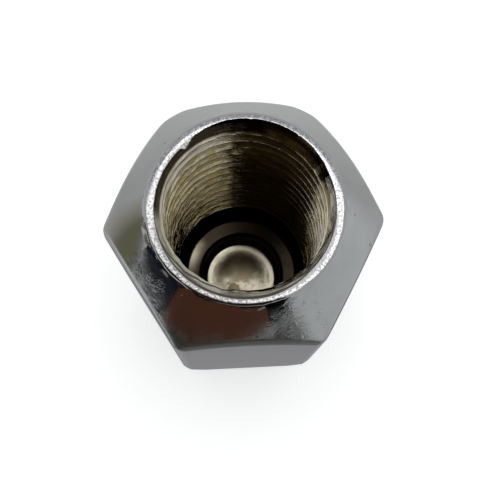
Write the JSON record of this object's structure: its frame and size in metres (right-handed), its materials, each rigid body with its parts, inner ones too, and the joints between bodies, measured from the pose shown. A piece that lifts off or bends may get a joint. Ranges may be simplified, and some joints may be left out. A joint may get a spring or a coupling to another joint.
{
  "type": "lug nut",
  "caption": "Closed-end lug nut: hexagon body, conical seat round a threaded blind mouth and a domed end; it holds a wheel on its stud.",
  "frame": {"origin": "centre of the flat at the tip of the closed end, the part's lowest point", "axes": "+Z along the bore, out of the threaded mouth; one flat of the hexagon faces -Y, and two of its corners point along +X and -X"},
  "size_m": [0.0192, 0.017, 0.025],
  "materials": {
    "plated_steel": "bright chrome plating, finely pitted on the seat, grainy and worn on the mouth rim, dull olive brown and thin inside the bore"
  },
  "bodies": {
    "root": {"nut_body": "plated_steel"}
  },
  "joints": []
}
